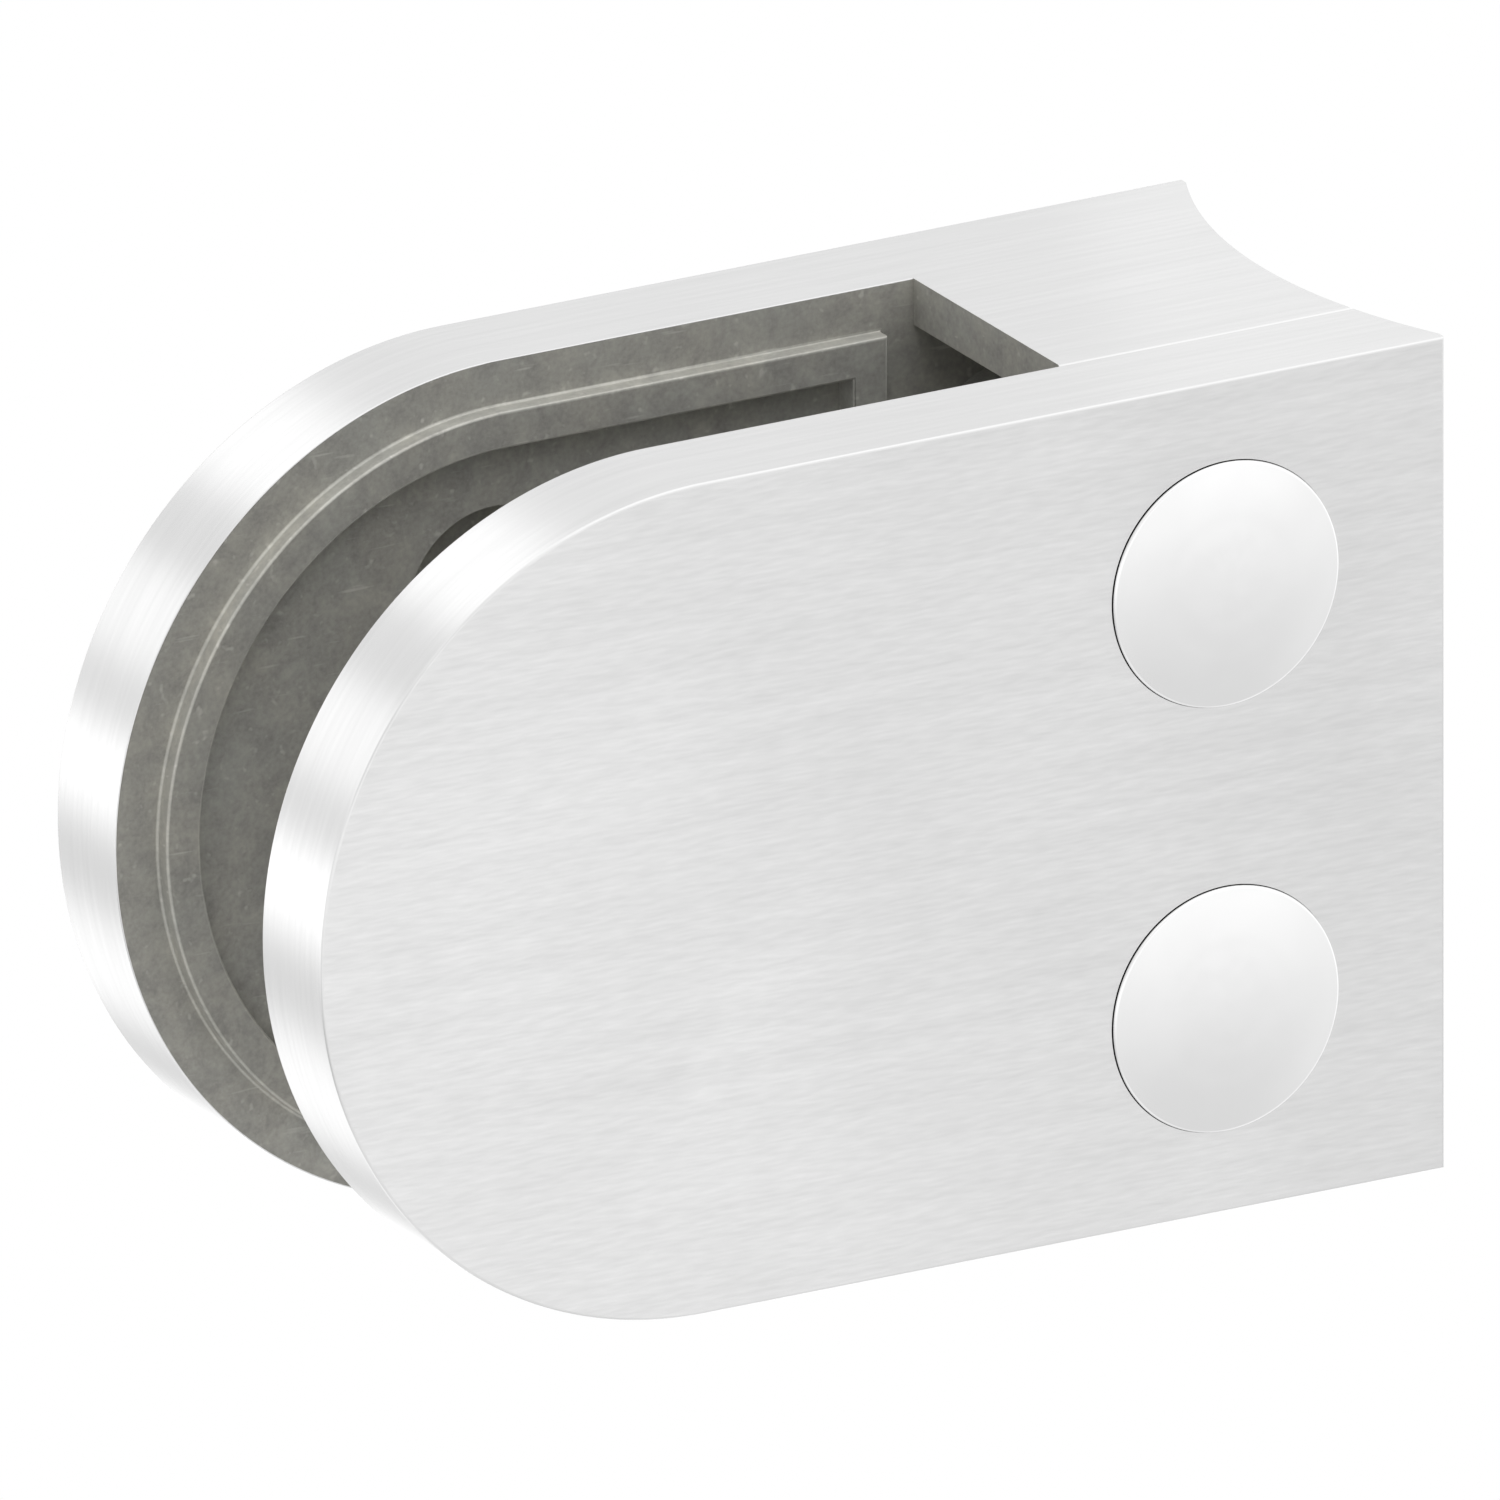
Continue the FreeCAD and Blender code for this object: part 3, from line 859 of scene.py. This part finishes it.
def studio_light():
    """A white studio: a bright ceiling, a soft front wall and strip lights along Y at the back."""
    world = bpy.data.worlds.new("studio")
    bpy.context.scene.world = world
    world.use_nodes = True
    tree = world.node_tree
    tree.nodes.clear()
    place = add_node(tree, "ShaderNodeTexCoord").outputs["Generated"]
    part = add_node(tree, "ShaderNodeSeparateXYZ", Vector=place).outputs
    height = spread(tree, part["Z"], -1.0, 1.0)

    def wall(stops):
        node = add_node(tree, "ShaderNodeValToRGB", Fac=height)
        node.color_ramp.interpolation = "B_SPLINE"
        elements = node.color_ramp.elements
        while len(elements) > 1:
            elements.remove(elements[-1])
        for i, (z, level) in enumerate(stops):
            element = elements[0] if i == 0 else elements.new((z + 1) / 2)
            element.position = (z + 1) / 2
            element.color = (level / BRIGHTEST, level / BRIGHTEST, level / BRIGHTEST, 1)
        return node.outputs["Color"]

    def glow(seen_from, towards, full, soft, strength):
        near_it = vector_maths(tree, "DOT_PRODUCT", seen_from, towards)
        return spread(tree, near_it, cos(radians(soft)), cos(radians(full)), 0.0, strength,
                      "SMOOTHSTEP")

    to_back = spread(tree, part["Y"], -0.3, 0.3, way="SMOOTHSTEP")
    walls = blend_colours(tree, to_back, wall(FRONT_WALL), wall(BACK_WALL))
    total = maths(tree, "MULTIPLY", walls, BRIGHTEST)
    around = vector_maths(tree, "NORMALIZE", vector_maths(tree, "MULTIPLY", place, (1, 0, 1)))
    behind = spread(tree, part["Y"], 0.1, 0.5, way="SMOOTHSTEP")
    for angle, full, soft, strength in STRIP_LIGHTS:
        towards = (-cos(radians(angle)), 0, sin(radians(angle)))
        strip = glow(around, towards, full, soft, strength)
        total = maths(tree, "ADD", total, maths(tree, "MULTIPLY", strip, behind))
    for towards, full, soft, strength in ROUND_LIGHTS:
        spot = glow(place, Vector(towards).normalized(), full, soft, strength)
        total = maths(tree, "ADD", total, spot)
    light = add_node(tree, "ShaderNodeBackground", Strength=total)
    white = add_node(tree, "ShaderNodeBackground", Strength=1.0)
    for node in (light, white):
        node.inputs["Color"].default_value = (1, 1, 1, 1)
    seen = add_node(tree, "ShaderNodeLightPath")
    mixed = add_node(tree, "ShaderNodeMixShader", i0=seen.outputs["Is Camera Ray"],
                     i1=light.outputs[0], i2=white.outputs[0])
    add_node(tree, "ShaderNodeOutputWorld", Surface=mixed.outputs[0])


def soft_box(name, face, direction, away, across, width, height, glow):
    """A soft box that faces the clamp and brightens one side of the face that mirrors it."""
    data = bpy.data.lights.new(name, "AREA")
    data.shape = "RECTANGLE"
    data.size, data.size_y = width / 1000, height / 1000
    data.energy = glow * pi * data.size * data.size_y
    box = bpy.data.objects.new(name, data)
    bpy.context.scene.collection.objects.link(box)
    towards = Vector(direction).normalized()
    side = Vector((1, 0, 0)) - towards * towards.x
    side.normalize()
    box.location = (Vector(face) + towards * away + side * across) / 1000
    box.rotation_euler = Matrix((side, towards.cross(side), towards)).transposed().to_euler()
    box.visible_camera = False
    return box


def top_light():
    """A soft light from above that only matt surfaces show: it reaches down into the slot."""
    data = bpy.data.lights.new("top_light", "SUN")
    data.angle = radians(50)
    data.energy = 2.1
    lamp = bpy.data.objects.new("top_light", data)
    bpy.context.scene.collection.objects.link(lamp)
    lamp.rotation_euler = Vector((0, -0.38, 0.925)).to_track_quat("Z", "Y").to_euler()
    lamp.visible_glossy = False


def studio_floor():
    """The pale sweep that the clamp stands on, as white as the paper of a catalogue."""
    bpy.ops.object.select_all(action="DESELECT")
    bpy.ops.mesh.primitive_plane_add(size=6, location=(0, 0, -HALF_HEIGHT / 1000 - 0.0001))
    floor = bpy.context.object
    floor.name = "studio_floor"
    material = bpy.data.materials.new("white_paper_sweep")
    material.use_nodes = True
    tree = material.node_tree
    tree.nodes.clear()
    glow = add_node(tree, "ShaderNodeEmission", Color=(1, 1, 1, 1), Strength=1.0)
    # the sweep has no underside, so that the clamp can be looked at from below
    clear = add_node(tree, "ShaderNodeBsdfTransparent")
    side = add_node(tree, "ShaderNodeNewGeometry")
    paper = add_node(tree, "ShaderNodeMixShader", i0=side.outputs["Backfacing"],
                     i1=glow.outputs[0], i2=clear.outputs[0])
    add_node(tree, "ShaderNodeOutputMaterial", Surface=paper.outputs[0])
    floor.data.materials.append(material)
    floor.visible_glossy = False
    floor.visible_diffuse = False
    floor.visible_shadow = False
    floor.visible_transmission = False


def camera():
    """From the front left and above, so far off that nothing tapers."""
    data = bpy.data.cameras.new("catalogue_camera")
    data.type = "ORTHO"
    data.ortho_scale = 0.076275
    data.clip_start, data.clip_end = 0.01, 5
    eye = bpy.data.objects.new("catalogue_camera", data)
    bpy.context.scene.collection.objects.link(eye)
    turn, tilt = radians(-29.881), radians(20.055)
    back = Vector((sin(turn) * cos(tilt), -cos(turn) * cos(tilt), sin(tilt)))
    eye.location = Vector((-0.0232, 0.01199, -0.003184)) + back * 0.4
    eye.rotation_euler = (-back).to_track_quat("-Z", "Y").to_euler()
    bpy.context.scene.camera = eye


# -------------------------------------------------------- the finished clamp
brushed = brushed_steel("stainless_304_brushed_240", "#d3d3d3", "#e8e8e8", (1.8, 0.25),
                        (0.27, 0.24), 0.007)
ground = brushed_steel("stainless_304_ground_edge", "#d8d8d8", "#e2e2e2", (9, 0.35),
                       (0.255, 0.245), 0.002)
cast = cast_steel("stainless_as_cast", "#898884", "#b2b0a8", "#adada7")
# the same cast steel painted lighter for the rim's sides and rounds: a painted highlight, not a
# different surface
rubbed = cast_steel("stainless_cast_rubbed_bright", "#9b9a95", "#bebcb3", "#b9b9b3")
bored = machined_steel("stainless_bored_and_turned", (0, 1, 0), (1, 0, 1),
                       (-SCREW_SETBACK / 1000, 0, -SCREW_Z["upper"] / 1000))
spot_faced = machined_steel("stainless_spot_faced", (1, 0, 0), (0, 1, 1), (0, 0, 0))
polished, cold_formed = polished_steel(), cold_formed_steel()
jaw_finishes = (brushed, ground, cast, rubbed, bored, spot_faced)
nut_finishes = (polished, bored)

front_jaw = cover()
front_jaw.name = front_jaw.data.name = "front_jaw"
finish_surface(front_jaw, jaw_finishes, jaw_finish)
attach(front_jaw, "cover")
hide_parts("clamp_cover")

back_jaw = rear_jaw()
back_jaw.name = back_jaw.data.name = "rear_jaw_and_block"
finish_surface(back_jaw, jaw_finishes, jaw_finish)
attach(back_jaw, "base")
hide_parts("clamp_body")

for place, z in SCREW_Z.items():
    nut = blind_nut("domed_nut_" + place, z)
    finish_surface(nut, nut_finishes, nut_finish)
    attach(nut, "cover")
    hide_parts("blind_nut_" + place)
    screw = clamping_screw("socket_screw_" + place, z)
    finish_surface(screw, (cold_formed,), lambda middle, normal: 0)
    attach(screw, place + "_screw")
    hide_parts("clamping_screw_" + place)

studio_floor()
studio_light()
jaws_only = bpy.data.collections.new("jaws_only")
for jaw in (front_jaw, back_jaw):
    jaws_only.objects.link(jaw)
for right_edge, glow in FRONT_BOXES:
    box = soft_box("soft_box_front", (-30, FRONT_Y, 0), FRONT_MIRROR, 60, right_edge - 60,
                   120, 120, glow)
    box.light_linking.receiver_collection = jaws_only  # the heads are masked off
soft_box("soft_box_rear_right", (-20, 0, HALF_HEIGHT), TOP_MIRROR, 100, 70, 120, 160, 0.1)
top_light()
camera()
bpy.context.scene.view_settings.view_transform = "Standard"
